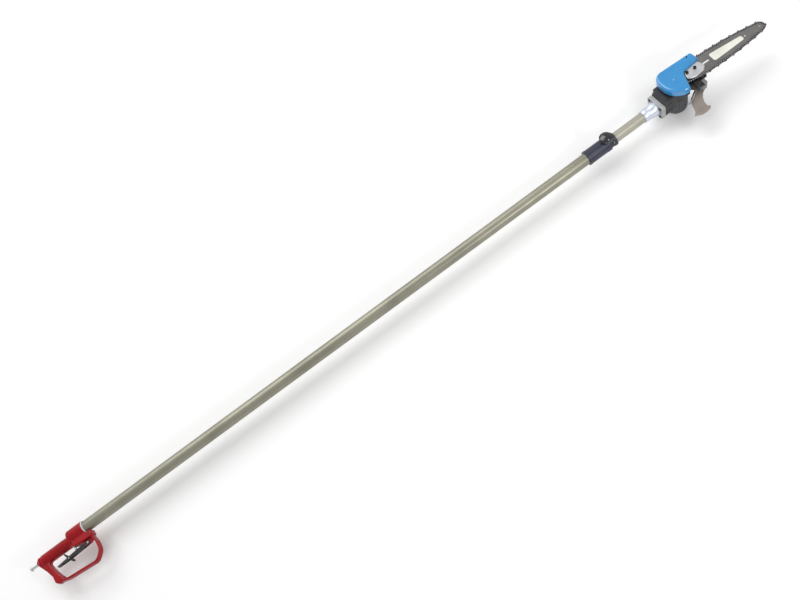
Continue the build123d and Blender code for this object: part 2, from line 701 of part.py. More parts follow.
def rear_end_plate():
    plate = post(liner_r(), CASE_BOTTOM, rear_plate_top())
    plate -= post(BEARING_R + FIT, CASE_BOTTOM - 1, CASE_BOTTOM + BEARING_THICK)
    return plate - post(SHAFT_R + 0.5, -60, 60)


def rotor_bearings():
    lows = (CASE_BOTTOM, FRONT_PLATE_TOP)
    rings = [post(BEARING_R, z, z + BEARING_THICK) - post(SHAFT_R + FIT, z - 1, z + 9) for z in lows]
    return Compound(children=[ring.solid() for ring in rings])


def rotor():
    body = post(ROTOR_R, rear_plate_top() + FIT, front_plate_low() - FIT)
    for spot in PolarLocations(ROTOR_R, VANES):
        body -= spot * Box(2 * VANE_DEPTH, VANE_THICK + 2 * FIT, 200)
    return body + post(SHAFT_R, CASE_BOTTOM, BAR_LEVEL + 8)


def rotor_vanes():
    height = front_plate_low() - rear_plate_top() - 4 * FIT
    mid = (front_plate_low() + rear_plate_top()) / 2
    blades = []
    for spot in PolarLocations(ROTOR_R - VANE_DEPTH / 2, VANES):
        blade = Pos(0, 0, mid) * (spot * Box(VANE_DEPTH - GAP, VANE_THICK, height))
        blades.append(blade.solid())
    return Compound(children=blades)


# ================= bar and chain =================


def unit(ax, ay):
    length = math.hypot(ax, ay)
    return ax / length, ay / length


def belt(reach):
    """Chain line round sprocket, bar tail, bar edges and nose, anticlockwise."""
    wheel = (0.0, -BAR_RISE, SPROCKET_R)
    tail = (BAR_TAIL_X, 0.0, TAIL_PATH_R)
    nose = (reach, 0.0, NOSE_R)
    edge_r = BAR_EDGE_R + STRAP_R + RAIL_GAP
    cx, drop, at_tail, at_nose = bow(*tail[::2], *nose[::2], edge_r)
    leaving, arriving = run_normal(wheel, tail), run_normal(tail, wheel)
    turns = [
        (wheel, arriving, leaving),
        (tail, leaving, -at_tail),
        ((cx, drop, edge_r), -at_tail, -at_nose),
        (nose, -at_nose, at_nose),
        ((cx, -drop, edge_r), at_nose, at_tail),
        (tail, at_tail, arriving),
    ]
    stretches = []
    for i, ((x, y, r), start, end) in enumerate(turns):
        turn = (end - start) % (2 * math.pi)
        stretches.append(("arc", x, y, r, start, turn, r * turn))
        (x1, y1, r1), start, _ = turns[(i + 1) % len(turns)]
        a = (x + r * math.cos(end), y + r * math.sin(end))
        b = (x1 + r1 * math.cos(start), y1 + r1 * math.sin(start))
        if math.dist(a, b) > FIT:
            stretches.append(("run", a, b, math.dist(a, b)))
    return stretches


def run_normal(a, b):
    """Outward normal angle of the straight run from one wheel to the next."""
    dx, dy = b[0] - a[0], b[1] - a[1]
    return math.atan2(dy, dx) - math.acos((a[2] - b[2]) / math.hypot(dx, dy))


def belt_length(reach):
    return sum(stretch[-1] for stretch in belt(reach))


def chain_links():
    """Whole number of drive links nearest to the nominal reach."""
    return round(belt_length(BAR_REACH) / PITCH)


def nose_x():
    """Reach at which the chain closes, as the tensioner would set it."""
    target = chain_links() * PITCH
    low, high = BAR_REACH - 2 * PITCH, BAR_REACH + 2 * PITCH
    for _ in range(60):
        mid = (low + high) / 2
        if belt_length(mid) < target:
            low = mid
        else:
            high = mid
    return low


def along(stretches, distance):
    """Point on the chain line."""
    for stretch in stretches:
        if distance <= stretch[-1]:
            break
        distance -= stretch[-1]
    if stretch[0] == "arc":
        _, x, y, r, start, turn, length = stretch
        angle = start + turn * distance / length
        return x + r * math.cos(angle), y + r * math.sin(angle)
    _, a, b, length = stretch
    share = distance / length
    return a[0] + (b[0] - a[0]) * share, a[1] + (b[1] - a[1]) * share


def rivet_points():
    """Rivet centres round the loop, with the sprocket's arc holding whole steps."""
    stretches = belt(nose_x())
    total = belt_length(nose_x())
    count = 2 * chain_links()
    return [along(stretches, (i * RIVET_STEP + CHAIN_PHASE) % total) for i in range(count)]


def link_frame(a, b):
    """Location midway between two rivets, +X along the chain and +Y away from the bar."""
    mid = ((a[0] + b[0]) / 2, (a[1] + b[1]) / 2)
    heading = math.degrees(math.atan2(a[1] - b[1], a[0] - b[0]))
    return Pos(*mid, 0) * Rot(0, 0, heading)


def rivet_holes(face):
    half = RIVET_STEP / 2
    for x in (-half, half):
        face -= Pos(x, 0) * Circle(RIVET_R + FIT)
    return face


def drive_link():
    half = RIVET_STEP / 2
    tang = [(-3.6, 0), (-1.4, -TANG), (1.0, -TANG), (3.6, 0)]
    face = stadium(-half, half, STRAP_R) + outline_of(tang)
    return extrude(rivet_holes(face), LINK_THICK / 2, both=True).solid()


def side_strap(side):
    face = rivet_holes(stadium(-RIVET_STEP / 2, RIVET_STEP / 2, STRAP_R))
    low = LINK_THICK / 2 + FIT
    plate = slab(face, low, low + STRAP_THICK)
    return plate if side > 0 else mirror(plate, Plane.XY)


def cutter(side):
    half = RIVET_STEP / 2
    heel = outline_of([(-5.4, 0), (-5.0, CUTTER_RISE), (0.4, CUTTER_RISE), (-0.6, 2), (-0.6, 0)])
    gauge = outline_of([(1.6, 0), (2.6, CUTTER_RISE - 0.6), (4.6, CUTTER_RISE - 0.9), (5.2, 0)])
    face = rivet_holes(stadium(-half, half, STRAP_R) + heel + gauge)
    low = LINK_THICK / 2 + FIT
    tooth = slab(face, low, low + STRAP_THICK)
    tooth += block((-5.0, 0.4), (CUTTER_RISE - 0.8, CUTTER_RISE), (low, low + 2.7))
    tooth = tooth.solid()
    return tooth if side > 0 else mirror(tooth, Plane.XY)


def rivet():
    reach = LINK_THICK / 2 + FIT + STRAP_THICK
    return post(RIVET_R, -reach - 0.35, reach + 0.35)


def save_chain():
    points = rivet_points()
    count = len(points)
    drive, straps, cutters, rivets = [], [], [], []
    link = drive_link()
    pairs = {1: (side_strap(1), cutter(1)), -1: (side_strap(-1), cutter(-1))}
    for i in range(0, count, 2):
        drive.append(link_frame(points[i], points[i + 1]) * link)
        place = link_frame(points[i + 1], points[(i + 2) % count])
        turn = (i // 2) % 4
        for side in (1, -1):
            sharp = turn == (0 if side > 0 else 2)
            (cutters if sharp else straps).append(place * pairs[side][1 if sharp else 0])
    pin = rivet()
    for x, y in points:
        rivets.append(Pos(x, y, 0) * pin)
    groups = {"chain_drive_links": drive, "chain_tie_straps": straps,
              "chain_cutters": cutters, "chain_rivets": rivets}
    for name, solids in groups.items():
        save(name, Compound(children=[s.solid() for s in solids]), BAR)


def toothed_wheel(teeth, root, tip, root_half, tip_half, half_thick):
    face = Circle(root)
    for spot in PolarLocations(0, teeth):
        tooth = outline_of([(root - 1, -root_half), (tip, -tip_half), (tip, tip_half), (root - 1, root_half)])
        face += spot * tooth
    return extrude(face, half_thick, both=True)


def wheel_turn(centre, radius_points):
    """Angle of the first tooth, half a pitch from a drive link's middle."""
    (ax, ay), (bx, by) = radius_points
    mid = math.atan2((ay + by) / 2 - centre[1], (ax + bx) / 2 - centre[0])
    return math.degrees(mid)


def nearest_link(centre):
    """The drive link whose middle lies furthest round a wheel's arc from both tangents."""
    points = rivet_points()
    target = -1 if centre[0] < 10 else 1
    best = min(range(0, len(points), 2), key=lambda i: -target * points[i][0] - target * points[i + 1][0])
    return points[best], points[best + 1]


def sprocket():
    centre = (0.0, -BAR_RISE)
    turn = wheel_turn(centre, nearest_link(centre)) + 180 / SPROCKET_TEETH
    wheel = toothed_wheel(SPROCKET_TEETH, SPROCKET_R - TANG - 0.6, SPROCKET_R - 3.1, 2.0, 1.2, 3)
    wheel = Rot(0, 0, turn) * wheel
    wheel += Pos(0, 0, -5) * Cylinder(9, 4)
    return Pos(*centre, 0) * (wheel - Cylinder(SHAFT_R + FIT, 60))


def sprocket_nut():
    return Pos(0, -BAR_RISE, 6) * (nut_blank(6.5, 6) - Cylinder(SHAFT_R + FIT, 30))


def nose_sprocket():
    centre = (nose_x(), 0.0)
    turn = wheel_turn(centre, nearest_link(centre)) + 180 / NOSE_TEETH
    wheel = toothed_wheel(NOSE_TEETH, NOSE_R - TANG - 0.6, NOSE_R - 3.2, 1.6, 0.9, LINK_THICK / 2)
    return Pos(*centre, 0) * (Rot(0, 0, turn) * wheel - Cylinder(3 + FIT, 60))


def nose_bearing():
    half = BAR_THICK / 2
    return post(3, -half, half, nose_x())


def guide_bar():
    reach = nose_x()
    half = BAR_THICK / 2
    depth = GROOVE_DEPTH
    plate = slab(blade(BAR_TAIL_X, BAR_TAIL_R, reach, BAR_NOSE_R, BAR_EDGE_R), -half, half)
    core = blade(BAR_TAIL_X, BAR_TAIL_R - depth, reach, BAR_NOSE_R - depth, BAR_EDGE_R - depth)
    core = slab(core, -half, half)
    channel = slab(Pos(150, 0) * Rectangle(400, 100), -GROOVE / 2, GROOVE / 2) - core
    plate -= channel
    pocket = post(NOSE_R, -GROOVE / 2, GROOVE / 2, reach)
    window = slab(window_face(), -half - 1, half + 1)
    return drilled(plate, [
        pocket,
        window,
        slab(stadium(BAR_SCREWS[0] - 3, BAR_SCREWS[1] + 3, 3.4), -5, 5),
        slab(stadium(*BAR_SLOT), -5, 5),
        post(BAR_HOLE[1], -5, 5, BAR_HOLE[0]),
        post(3 + FIT, -5, 5, reach),
    ])


def window_face(inset=0.0):
    x0, half0, x1, half1 = PANEL
    face = outline_of([(x0, -half0), (x1, -half1), (x1, half1), (x0, half0)], 6)
    return offset(face, -inset) if inset else face


def bar_inlay():
    half = BAR_THICK / 2 - 0.4
    return slab(window_face(FIT), -half, half)


def clamp_plate():
    low = BAR_THICK / 2
    edge = [(26, -17), (31, 5), (56, 18), (80, 15), (88, -8), (76, -22), (50, -25.5), (36, -22.5)]
    plate = slab(outline_of(edge, 6), low, low + CLAMP_PLATE_THICK)
    plate = chamfer(plate.faces().sort_by(Axis.Z)[-1].edges(), 0.8)
    return drilled(plate, [post(BAR_SCREW_R + FIT, -5, 20, x) for x in BAR_SCREWS])


def bar_screws():
    low = BAR_THICK / 2 + CLAMP_PLATE_THICK
    screws = []
    for x in BAR_SCREWS:
        screw = post(4.6, low, low + 4, x) + post(BAR_SCREW_R, -14, low + 1, x)
        screw -= Pos(x, 0, low + 3) * nut_blank(2.2, 4)
        screws.append(screw.solid())
    return Compound(children=screws)


# ================= hook, bracket and lever =================



def hook_bracket():
    """Block under the bar that carries the hook, with a raised end beside the housing arm."""
    under = DECK - DECK_THICK
    face = outline_of([(38.5, -28.4), (63, -28.4), (63, -51), (57, -56.4), (45.5, -56.4), (38.5, -50.4)], 4)
    body = slab(face, HOOK_TOP, under)
    tower = outline_of([(51.5, -36), (63, -36), (63, -51), (57, -56.4), (51.5, -56.4)], 2)
    raised = slab(tower, HOOK_TOP, BRACKET_TOP)
    raised = fillet(raised.faces().sort_by(Axis.Z)[-1].edges(), 3)
    body = (body + raised).solid()
    for x, y in BRACKET_SPOTS:
        body -= post(2.5 + FIT, HOOK_TOP - 1, BRACKET_SCREW_TOP, x, y)
    return body


def chain_catcher():
    """Black block under the chain beside the clamp plate, held by two screws."""
    body = slab(outline_of([(28.5, -49.4), (50, -49.4), (50, -33.4), (31.5, -33.4)], 2), DECK, CATCHER_TOP)
    for x, y in CATCHER_SPOTS:
        body -= post(1.5 + FIT, DECK - 1, CATCHER_TOP + 1, x, y)
        body -= post(2.6, CATCHER_TOP - 2.5, CATCHER_TOP + 1, x, y)
    return body


def catcher_screws():
    screws = [post(2.5, CATCHER_TOP - 2.5, CATCHER_TOP - 0.3, x, y) + post(1.5, DECK - 4,
                                                                           CATCHER_TOP - 2, x, y)
              for x, y in CATCHER_SPOTS]
    return Compound(children=[screw.solid() for screw in screws])


def wire_lever():
    """Thin bent steel lever on a pivot screw, free at its far end."""
    lean = math.radians(LEVER_LEAN)
    x, y = LEVER_PIVOT

    def at(share, side):
        reach = LEVER_REACH * share
        return (x + reach * math.cos(lean) - side * math.sin(lean),
                y + reach * math.sin(lean) + side * math.cos(lean), LEVER_LEVEL)

    path = ThreePointArc(at(0.06, 0), at(0.5, 3), at(1, 0))
    start = Plane(origin=path @ 0, z_dir=path % 0)
    rod = sweep(start * Circle(LEVER_R), path=path) + Pos(*at(1, 0)) * Sphere(LEVER_R)
    rod += post(LEVER_HUB_R, LEVER_LEVEL - 2.2, DECK - DECK_THICK - GAP, x, y)
    return rod - post(LEVER_SCREW_R + FIT, 0, 60, x, y)


def lever_screw():
    low = LEVER_LEVEL - 2.2 - GAP
    x, y = LEVER_PIVOT
    return post(3.8, low - 2, low, x, y) + post(LEVER_SCREW_R, low - 1, DECK - 1.5, x, y)


def socket_ring():
    return tube(SOCKET_R - 1.2, SOCKET_R - 1.2 - OUTER_TUBE_R - FIT, SOCKET_FRONT, SOCKET_FRONT + 4)


def socket_screw():
    return bar_y(SET_SCREW_R, OUTER_TUBE_R + FIT, SOCKET_R + 0.5, x=SOCKET_FRONT - SEAT_DEPTH / 2)


def pulling_hook():
    """Steel plate hook with two horns for pulling down cut branches."""
    edge = Polyline(
        (37, -35.4), (61, -35.4), (62, -45), (54, -54.4), (41, -60.4), (29.5, -72.4), (21.5, -88.4),
        (19.5, -101.4), (25, -108.5), (21, -113), (7, -115.6), (-8.5, -114), (-26, -103.5),
        (-16.5, -97.4), (-10.5, -84.4), (-4.5, -68.4), (2.5, -55.4), (22.5, -43.4), close=True,
    )
    face = make_face(edge)
    smooth = face.vertices().filter_by(lambda v: v.X > -14 and (v.X < 24 or v.Y > -105))
    face = fillet(smooth, 4)
    plate = slab(face, HOOK_TOP - HOOK_THICK, HOOK_TOP)
    return drilled(plate, [post(2.5 + FIT, 0, 60, x, y) for x, y in BRACKET_SPOTS])


def hook_screws():
    low = HOOK_TOP - HOOK_THICK
    top = BRACKET_SCREW_TOP - 0.5
    screws = [post(4.2, low - 3, low, x, y) + post(2.5, low - 1, top, x, y) for x, y in BRACKET_SPOTS]
    return Compound(children=[screw.solid() for screw in screws])


for name, shape, frame in [
    ("handle_body", handle_body(), Pos(0, 0, 0)),
    ("inlet_nipple", inlet_nipple(), Pos(0, 0, 0)),
    ("valve_cartridge", valve_cartridge(), Pos(0, 0, 0)),
    ("valve_stem", valve_stem(), Pos(0, 0, 0)),
    ("valve_seal", valve_seal(), Pos(0, 0, 0)),
    ("valve_spring", valve_spring(), Pos(0, 0, 0)),
    ("trigger_lever", trigger_lever(), Pos(0, 0, 0)),
    ("trigger_pin", trigger_pin(), Pos(0, 0, 0)),
    ("latch_pin", latch_pin(), Pos(0, 0, 0)),
    ("lockoff_latch", lockoff_latch(), Pos(0, 0, 0)),
    ("outer_tube", tube(OUTER_TUBE_R, OUTER_TUBE_WALL, SOCKET_FRONT - SEAT_DEPTH, TUBE_END), POLE),
    ("inner_tube", inner_tube(), POLE),
    ("clamp_collar", clamp_collar(), POLE),
    ("guide_bush", guide_bush(), POLE),
    ("clamp_bolt", clamp_bolt(), POLE),
    ("clamp_knob", clamp_knob(), POLE),
    ("clamp_nut", clamp_nut(), POLE),
    ("piston_head", piston_head(), POLE),
    ("piston_seals", piston_seals(), POLE),
    ("ferrule", ferrule(), HEAD),
    ("ferrule_pin", ferrule_pin(), HEAD),
    ("flange_plate", flange_plate(), HEAD),
    ("flange_gasket", flange_gasket(), HEAD),
    ("flange_screws", flange_screws(), HEAD),
    ("head_housing", head_housing(), HEAD),
    ("motor_case", motor_case(), HEAD),
    ("end_cap", end_cap(), HEAD),
    ("end_cap_screws", end_cap_screws(), HEAD),
    ("motor_liner", motor_liner(), HEAD),
    ("front_end_plate", front_end_plate(), HEAD),
    ("rear_end_plate", rear_end_plate(), HEAD),
    ("rotor_bearings", rotor_bearings(), HEAD),
    ("rotor", rotor(), HEAD),
    ("rotor_vanes", rotor_vanes(), HEAD),
    ("side_cover", side_cover(), HEAD),
    ("cover_screws", cover_screws(), HEAD),
    ("hook_bracket", hook_bracket(), HEAD),
    ("pulling_hook", pulling_hook(), HEAD),
    ("hook_screws", hook_screws(), HEAD),
    ("chain_catcher", chain_catcher(), HEAD),
    ("catcher_screws", catcher_screws(), HEAD),
    ("wire_lever", wire_lever(), HEAD),
    ("lever_screw", lever_screw(), HEAD),
    ("socket_ring", socket_ring(), POLE),
    ("socket_screw", socket_screw(), POLE),
    ("guide_bar", guide_bar(), BAR),
    ("bar_inlay", bar_inlay(), BAR),
    ("nose_bearing", nose_bearing(), BAR),
    ("nose_sprocket", nose_sprocket(), BAR),
    ("sprocket", sprocket(), BAR),
    ("sprocket_nut", sprocket_nut(), BAR),
    ("clamp_plate", clamp_plate(), BAR),
    ("bar_screws", bar_screws(), BAR),
]:
    save(name, shape, frame)
save_chain()
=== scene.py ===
import math

import bmesh
import bpy
from mathutils import Matrix, Vector


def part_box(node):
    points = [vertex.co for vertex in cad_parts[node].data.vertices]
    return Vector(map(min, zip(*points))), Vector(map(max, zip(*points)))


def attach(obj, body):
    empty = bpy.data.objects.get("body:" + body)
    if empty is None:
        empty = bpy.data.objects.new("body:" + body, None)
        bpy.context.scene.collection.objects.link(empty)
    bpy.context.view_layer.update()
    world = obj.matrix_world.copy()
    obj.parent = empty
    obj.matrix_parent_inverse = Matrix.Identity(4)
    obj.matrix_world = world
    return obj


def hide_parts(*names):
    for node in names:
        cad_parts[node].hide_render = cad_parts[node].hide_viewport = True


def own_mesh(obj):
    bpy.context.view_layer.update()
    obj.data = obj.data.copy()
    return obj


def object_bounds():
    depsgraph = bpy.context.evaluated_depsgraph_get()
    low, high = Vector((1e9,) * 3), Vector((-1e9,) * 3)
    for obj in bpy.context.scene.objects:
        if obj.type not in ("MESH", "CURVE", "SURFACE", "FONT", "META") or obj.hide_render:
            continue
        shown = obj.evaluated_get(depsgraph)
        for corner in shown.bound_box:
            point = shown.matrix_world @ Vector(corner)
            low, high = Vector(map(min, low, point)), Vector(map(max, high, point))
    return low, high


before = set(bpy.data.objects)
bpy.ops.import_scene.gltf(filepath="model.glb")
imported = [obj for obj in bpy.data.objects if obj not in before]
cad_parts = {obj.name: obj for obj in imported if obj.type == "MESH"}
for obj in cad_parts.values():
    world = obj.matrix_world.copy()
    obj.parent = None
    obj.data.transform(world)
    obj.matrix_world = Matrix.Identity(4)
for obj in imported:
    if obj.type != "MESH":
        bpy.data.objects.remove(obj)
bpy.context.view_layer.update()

# ---- handle casting ----
# The grip, guard bow and pole socket are one aluminium casting, dipped in thick red enamel.
# The enamel rounds every edge and pools a little in the corners, so the mesh is melted together
# on a fine voxel grid and relaxed.


class Sock:
    """An output in a material's node tree that ordinary arithmetic works on."""

    def __init__(self, tree, output):
        self.tree, self.output = tree, output

    def node(self, kind, inputs=None, output=0, **settings):
        made = self.tree.nodes.new("ShaderNode" + kind)
        for key, value in settings.items():
            setattr(made, key, value)
        for key, value in (inputs or {}).items():
            if isinstance(value, Sock):
                self.tree.links.new(value.output, made.inputs[key])
            else:
                made.inputs[key].default_value = value
        return Sock(self.tree, made.outputs[output])

    def maths(self, operation, *values):
        return self.node("Math", dict(enumerate(values)), operation=operation)

    def __add__(self, other):
        return self.maths("ADD", self, other)

    def __radd__(self, other):
        return self.maths("ADD", other, self)

    def __mul__(self, other):
        return self.maths("MULTIPLY", self, other)

    def __rmul__(self, other):
        return self.maths("MULTIPLY", other, self)

    def ramp(self, low, high):
        """0 at low and below, 1 at high and above, eased between."""
        values = {"Value": self, "From Min": low, "From Max": high}
        return self.node("MapRange", values, interpolation_type="SMOOTHSTEP")

    def noise(self, scale, detail=3.0, roughness=0.55, stretch=(1, 1, 1)):
        """Noise on these coordinates, finer across the axes with the larger stretch."""
        place = self.node("VectorMath", {0: self, 1: stretch}, operation="MULTIPLY")
        values = {"Vector": place, "Scale": scale, "Detail": detail, "Roughness": roughness}
        return self.node("TexNoise", values)

    def mix(self, a, b):
        """Colour a where this is 0 and b where it is 1."""
        a, b = ((*c, 1) if isinstance(c, tuple) else c for c in (a, b))
        return self.node("Mix", {0: self, 6: a, 7: b}, output=2, data_type="RGBA")


def surface(name, colour, other, rough, rough_swing=0.06, patch=25.0, grain=600.0, stretch=(1, 1, 1),
            bump=0.04, bump_depth=0.0002, marks=None, marked=0.0, **constants):
    """Paint, metal or plastic with patchy colour, uneven gloss, a fine grain and sparse handling marks."""
    made = bpy.data.materials.new(name)
    made.use_nodes = True
    tree = made.node_tree
    shader = tree.nodes["Principled BSDF"]
    where = Sock(tree, tree.nodes.new("ShaderNodeTexCoord").outputs["Object"])
    gloss_patch = patch * 3.1
    mark_patch = patch * 7.0
    patch_edges = (0.35, 0.68)
    mark_edges = (0.66, 0.72)
    mark_dulling = 0.15
    broad = where.noise(patch, detail=4.0).ramp(*patch_edges)
    fine = where.noise(grain, detail=2.0, roughness=0.6, stretch=stretch)
    tint = broad.mix(colour, other)
    gloss = where.noise(gloss_patch) * (2 * rough_swing) + (rough - rough_swing)
    if marks:
        spots = where.noise(mark_patch, detail=5.0, roughness=0.75).ramp(*mark_edges) * marked
        tint = spots.mix(tint, marks)
        gloss = gloss + spots * mark_dulling
    bumped = where.node("Bump", {"Strength": bump, "Distance": bump_depth, "Height": fine})
    tree.links.new(tint.output, shader.inputs["Base Color"])
    tree.links.new(gloss.output, shader.inputs["Roughness"])
    tree.links.new(bumped.output, shader.inputs["Normal"])
    for key, value in constants.items():
        shader.inputs[key.replace("_", " ")].default_value = value
    return made


def merged(node):
    """A mesh object copied from a CAD node, with its faces joined into whole skins."""
    weld = 2e-6
    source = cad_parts[node]
    mesh = source.data.copy()
    piece = bpy.data.objects.new(node + "_piece", mesh)
    bpy.context.collection.objects.link(piece)
    bm = bmesh.new()
    bm.from_mesh(mesh)
    bmesh.ops.remove_doubles(bm, verts=bm.verts, dist=weld)
    bmesh.ops.recalc_face_normals(bm, faces=bm.faces)
    bm.to_mesh(mesh)
    bm.free()
    if "custom_normal" in mesh.attributes:
        mesh.attributes.remove(mesh.attributes["custom_normal"])
    mesh.materials.clear()
    return piece


def baked(piece, material):
    """Turns the piece's modifiers into its mesh and gives it one material."""
    graph = bpy.context.evaluated_depsgraph_get()
    mesh = bpy.data.meshes.new_from_object(piece.evaluated_get(graph))
    piece.modifiers.clear()
    piece.data = mesh
    mesh.materials.clear()
    mesh.materials.append(material)
    return piece


def cast(node, material, voxel, rounds, body):
    """A CAD node melted on a voxel grid and relaxed, so that every edge is rounded like a casting's."""
    piece = merged(node)
    melt = piece.modifiers.new("melt", "REMESH")
    melt.mode, melt.voxel_size, melt.use_smooth_shade = "VOXEL", voxel, True
    relax = piece.modifiers.new("relax", "SMOOTH")
    relax.factor, relax.iterations = 0.5, rounds
    baked(piece, material)
    piece.data.shade_smooth()
    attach(piece, body)
    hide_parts(node)
    return piece


red_enamel = surface(
    "red_enamel", (0.33, 0.0004, 0.005), (0.26, 0.0003, 0.004), 0.30, 0.05, patch=14.0, grain=260.0,
    bump=0.10, bump_depth=0.0004, marks=(0.16, 0.004, 0.008), marked=0.35,
    Coat_Weight=0.12, Coat_Roughness=0.12, Specular_IOR_Level=0.22)
cast("handle_body", red_enamel, 0.0011, 16, "pole")

# ---- bright inlet and turned steel ----
# The air inlet is a nickel-plated nipple screwed into the grip. The valve stem, the piston head and
# the hinge pins are plain turned steel. The valve cartridge is brass and the seals are black rubber.


def dress(material, *nodes):
    """Gives CAD nodes this finish."""
    for node in nodes:
        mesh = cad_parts[node].data
        mesh.materials.clear()
        mesh.materials.append(material)


def eased(node, material, width, body, segments=3):
    """A CAD node with every sharp edge broken by a small radius."""
    flat, sharp = math.radians(0.6), math.radians(32)
    piece = merged(node)
    bm = bmesh.new()
    bm.from_mesh(piece.data)
    bmesh.ops.dissolve_limit(bm, angle_limit=flat, verts=bm.verts, edges=bm.edges)
    bm.to_mesh(piece.data)
    bm.free()
    piece.data.shade_smooth()
    ease = piece.modifiers.new("ease", "BEVEL")
    ease.width, ease.segments, ease.limit_method = width, segments, "ANGLE"
    ease.angle_limit, ease.harden_normals = sharp, True
    ease.use_clamp_overlap = True
    baked(piece, material)
    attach(piece, body)
    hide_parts(node)
    return piece


bright_plate = surface(
    "bright_plate", (0.72, 0.73, 0.76), (0.60, 0.61, 0.64), 0.2, 0.06, patch=60.0, grain=900.0,
    stretch=(3, 0.4, 0.4), marks=(0.30, 0.29, 0.28), marked=0.4, Metallic=1.0)
turned_steel = surface(
    "turned_steel", (0.50, 0.50, 0.51), (0.36, 0.36, 0.37), 0.34, 0.08, patch=70.0, grain=1400.0,
    stretch=(0.3, 0.3, 3), bump=0.12, marks=(0.16, 0.12, 0.10), marked=0.5, Metallic=1.0)
black_oxide = surface(
    "black_oxide", (0.022, 0.022, 0.024), (0.040, 0.039, 0.038), 0.38, 0.10, patch=80.0, grain=800.0,
    marks=(0.12, 0.11, 0.10), marked=0.5, Metallic=0.6)
spring_wire = surface(
    "spring_wire", (0.34, 0.34, 0.36), (0.24, 0.24, 0.26), 0.3, patch=120.0, grain=1500.0, Metallic=1.0)
turned_brass = surface(
    "turned_brass", (0.55, 0.38, 0.12), (0.42, 0.28, 0.08), 0.3, patch=60.0, grain=1200.0, Metallic=1.0)
nitrile = surface(
    "nitrile", (0.02, 0.02, 0.02), (0.035, 0.034, 0.033), 0.6, patch=90.0, grain=900.0, bump=0.2)
eased("inlet_nipple", bright_plate, 0.0003, "pole")
dress(turned_steel, "trigger_pin", "latch_pin", "valve_stem", "piston_head")
dress(turned_brass, "valve_cartridge")
dress(nitrile, "valve_seal", "piston_seals", "flange_gasket")

# ---- valve spring ----
# A steel coil above the valve stem. In the tool it shortens against the roof of its chamber as the stem
# rises; here it keeps its modelled length, on a mesh of its own.
spring = baked(merged("valve_spring"), spring_wire)
spring.data.shade_smooth()
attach(spring, "pole")
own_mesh(spring)
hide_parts("valve_spring")

# ---- trigger lever and lock-off latch ----
# The lever and the latch that blocks it are pressed from thick sheet and blackened. Handling leaves
# small paler marks on both.
eased("trigger_lever", black_oxide, 0.0006, "trigger")
eased("lockoff_latch", black_oxide, 0.0005, "latch")

# ---- outer tube and socket ring ----
# The outer tube is drawn aluminium, anodised a dull olive bronze. The draw leaves long faint streaks
# and handling dulls it in patches. An off-white plastic ring finishes the socket's mouth.
olive_anodised = surface(
    "olive_anodised", (0.300, 0.290, 0.225), (0.235, 0.228, 0.175), 0.38, 0.07, patch=9.0, grain=420.0,
    stretch=(0.03, 1, 1), bump=0.10, bump_depth=0.0003, marks=(0.22, 0.21, 0.18), marked=0.5,
    Metallic=0.45)
pale_anodised = surface(
    "pale_anodised", (0.42, 0.405, 0.335), (0.355, 0.342, 0.275), 0.36, 0.06, patch=20.0, grain=420.0,
    stretch=(0.03, 1, 1), bump=0.10, bump_depth=0.0003, marks=(0.3, 0.28, 0.24), marked=0.4,
    Metallic=0.5)
ring_white = surface(
    "ring_white", (0.66, 0.65, 0.69), (0.58, 0.57, 0.60), 0.45, patch=60.0, grain=500.0)
dress(olive_anodised, "outer_tube")
eased("socket_ring", ring_white, 0.0006, "pole")
dress(black_oxide, "socket_screw")

# ---- clamp collar and knob ----
# The collar is moulded in navy-black glass-filled nylon round the tube's end. A domed knob on a cross
# screw presses the guide bush onto the inner tube.
navy_nylon = surface(
    "navy_nylon", (0.020, 0.023, 0.046), (0.028, 0.031, 0.056), 0.36, 0.08, patch=40.0, grain=700.0,
    bump=0.15, marks=(0.08, 0.08, 0.11), marked=0.4)
gloss_black = surface(
    "gloss_black", (0.008, 0.008, 0.012), (0.014, 0.014, 0.018), 0.16, 0.05, patch=60.0, grain=600.0,
    bump=0.05, Coat_Weight=0.6, Coat_Roughness=0.08)
black_nylon = surface(
    "black_nylon", (0.014, 0.014, 0.016), (0.022, 0.022, 0.024), 0.42, 0.08, patch=40.0, grain=700.0,
    bump=0.15)
eased("clamp_collar", navy_nylon, 0.0010, "pole")
eased("clamp_knob", gloss_black, 0.0012, "knob", segments=4)
dress(black_nylon, "guide_bush")
dress(turned_steel, "clamp_nut", "clamp_bolt")

# ---- inner tube, ferrule and flange ----
# The thinner inner tube is anodised paler. A bright turned ferrule flares out to the cast flange that
# carries the motor.
bright_aluminium = surface(
    "bright_aluminium", (0.60, 0.64, 0.73), (0.58, 0.62, 0.71), 0.34, 0.02, patch=50.0, grain=900.0,
    stretch=(3, 0.1, 0.1), bump=0.0, Metallic=0.5)
blasted_flange = surface(
    "blasted_flange", (0.40, 0.41, 0.41), (0.33, 0.34, 0.34), 0.46, 0.08, patch=40.0, grain=900.0,
    bump=0.2, Metallic=0.4)
dress(pale_anodised, "inner_tube")
dress(turned_steel, "ferrule_pin")
eased("flange_plate", blasted_flange, 0.0012, "head")

# ---- flange screws ----
# Four black cap screws with hexagon sockets hold the flange to the neck. Every other screw on the head
# is the same kind in its own size, so the rule that sets them is made here.


def islands(node):
    """The lowest and highest corner of each separate body in a CAD node."""
    piece = merged(node)
    bm = bmesh.new()
    bm.from_mesh(piece.data)
    left, found = set(bm.verts), []
    while left:
        reached = [left.pop()]
        for vert in reached:
            near = {e.other_vert(vert) for e in vert.link_edges} & left
            left -= near
            reached.extend(near)
        found.append([Vector(pick(v.co[i] for v in reached) for i in range(3)) for pick in (min, max)])
    bm.free()
    bpy.data.objects.remove(piece)
    return found


